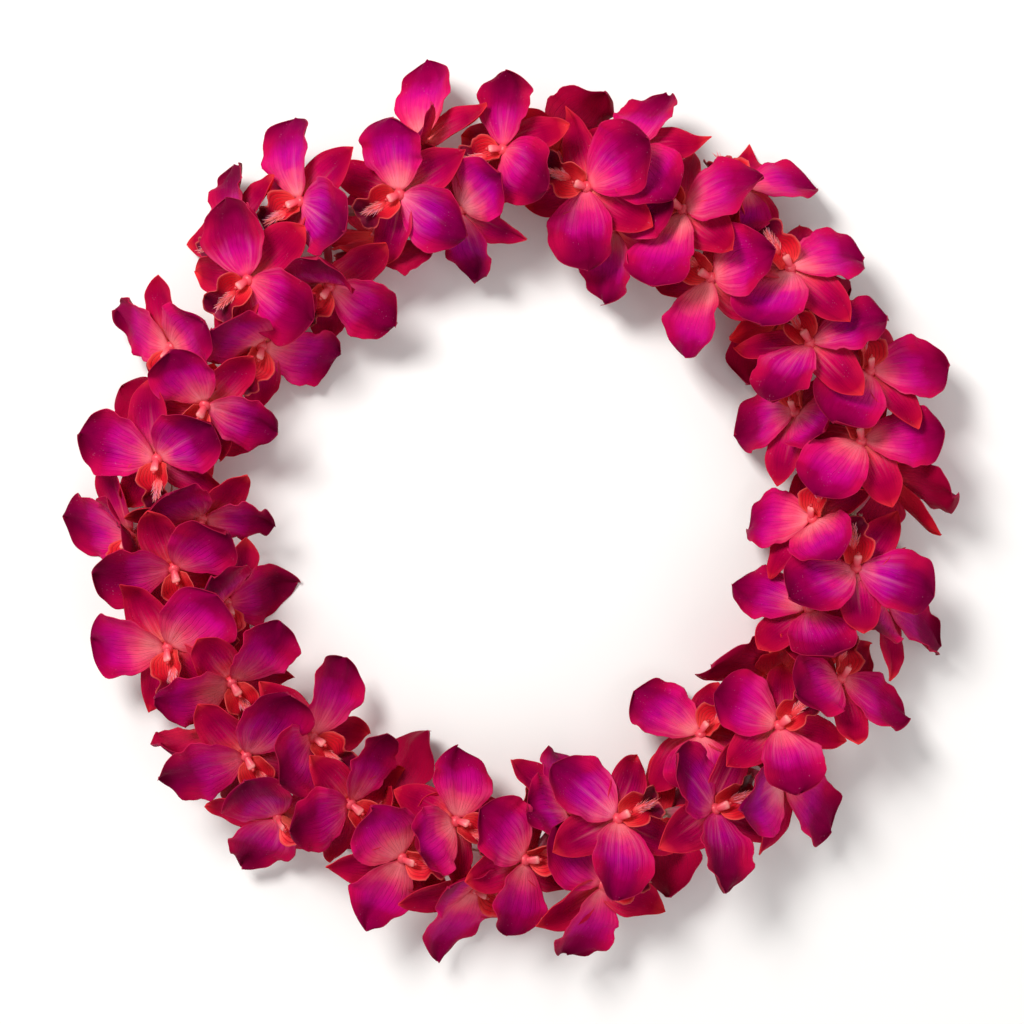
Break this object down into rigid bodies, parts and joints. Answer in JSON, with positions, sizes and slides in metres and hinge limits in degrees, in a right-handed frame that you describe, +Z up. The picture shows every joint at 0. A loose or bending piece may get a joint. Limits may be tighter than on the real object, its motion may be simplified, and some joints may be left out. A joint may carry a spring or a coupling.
{
  "type": "orchid flower lei",
  "caption": "Ring garland of fresh orchid blooms threaded on a string, worn round the neck or laid on a flat surface.",
  "frame": {"origin": "middle of the ring on the surface that the lei lies on", "axes": "+Z up from the surface, square to the ring; X and Y across the ring, alike"},
  "size_m": [0.3825, 0.3845, 0.0682],
  "materials": {
    "petal": "velvety, coral at the throat and rims, magenta to deep crimson towards the tips",
    "string": "twisted cotton"
  },
  "bodies": {
    "root": {"bloom_01": "petal", "bloom_02": "petal", "bloom_03": "petal", "bloom_04": "petal", "bloom_05": "petal", "bloom_06": "petal", "bloom_07": "petal", "bloom_08": "petal", "bloom_09": "petal", "bloom_10": "petal", "bloom_11": "petal", "bloom_12": "petal", "bloom_13": "petal", "bloom_14": "petal", "bloom_15": "petal", "bloom_16": "petal", "bloom_17": "petal", "bloom_18": "petal", "bloom_19": "petal", "bloom_20": "petal", "bloom_21": "petal", "bloom_22": "petal", "bloom_23": "petal", "bloom_24": "petal", "bloom_25": "petal", "bloom_26": "petal", "bloom_27": "petal", "bloom_28": "petal", "bloom_29": "petal", "bloom_30": "petal", "bloom_31": "petal", "bloom_32": "petal", "bloom_33": "petal", "bloom_34": "petal", "bloom_35": "petal", "bloom_36": "petal", "bloom_37": "petal", "bloom_38": "petal", "bloom_39": "petal", "bloom_40": "petal", "bloom_41": "petal", "bloom_42": "petal", "bloom_43": "petal", "bloom_44": "petal", "bloom_45": "petal", "bloom_46": "petal", "bloom_47": "petal", "bloom_48": "petal", "bloom_49": "petal", "bloom_50": "petal", "bloom_51": "petal", "bloom_52": "petal", "bloom_53": "petal", "bloom_54": "petal", "bloom_55": "petal", "bloom_56": "petal", "bloom_57": "petal", "bloom_58": "petal", "string": "string"}
  },
  "joints": []
}
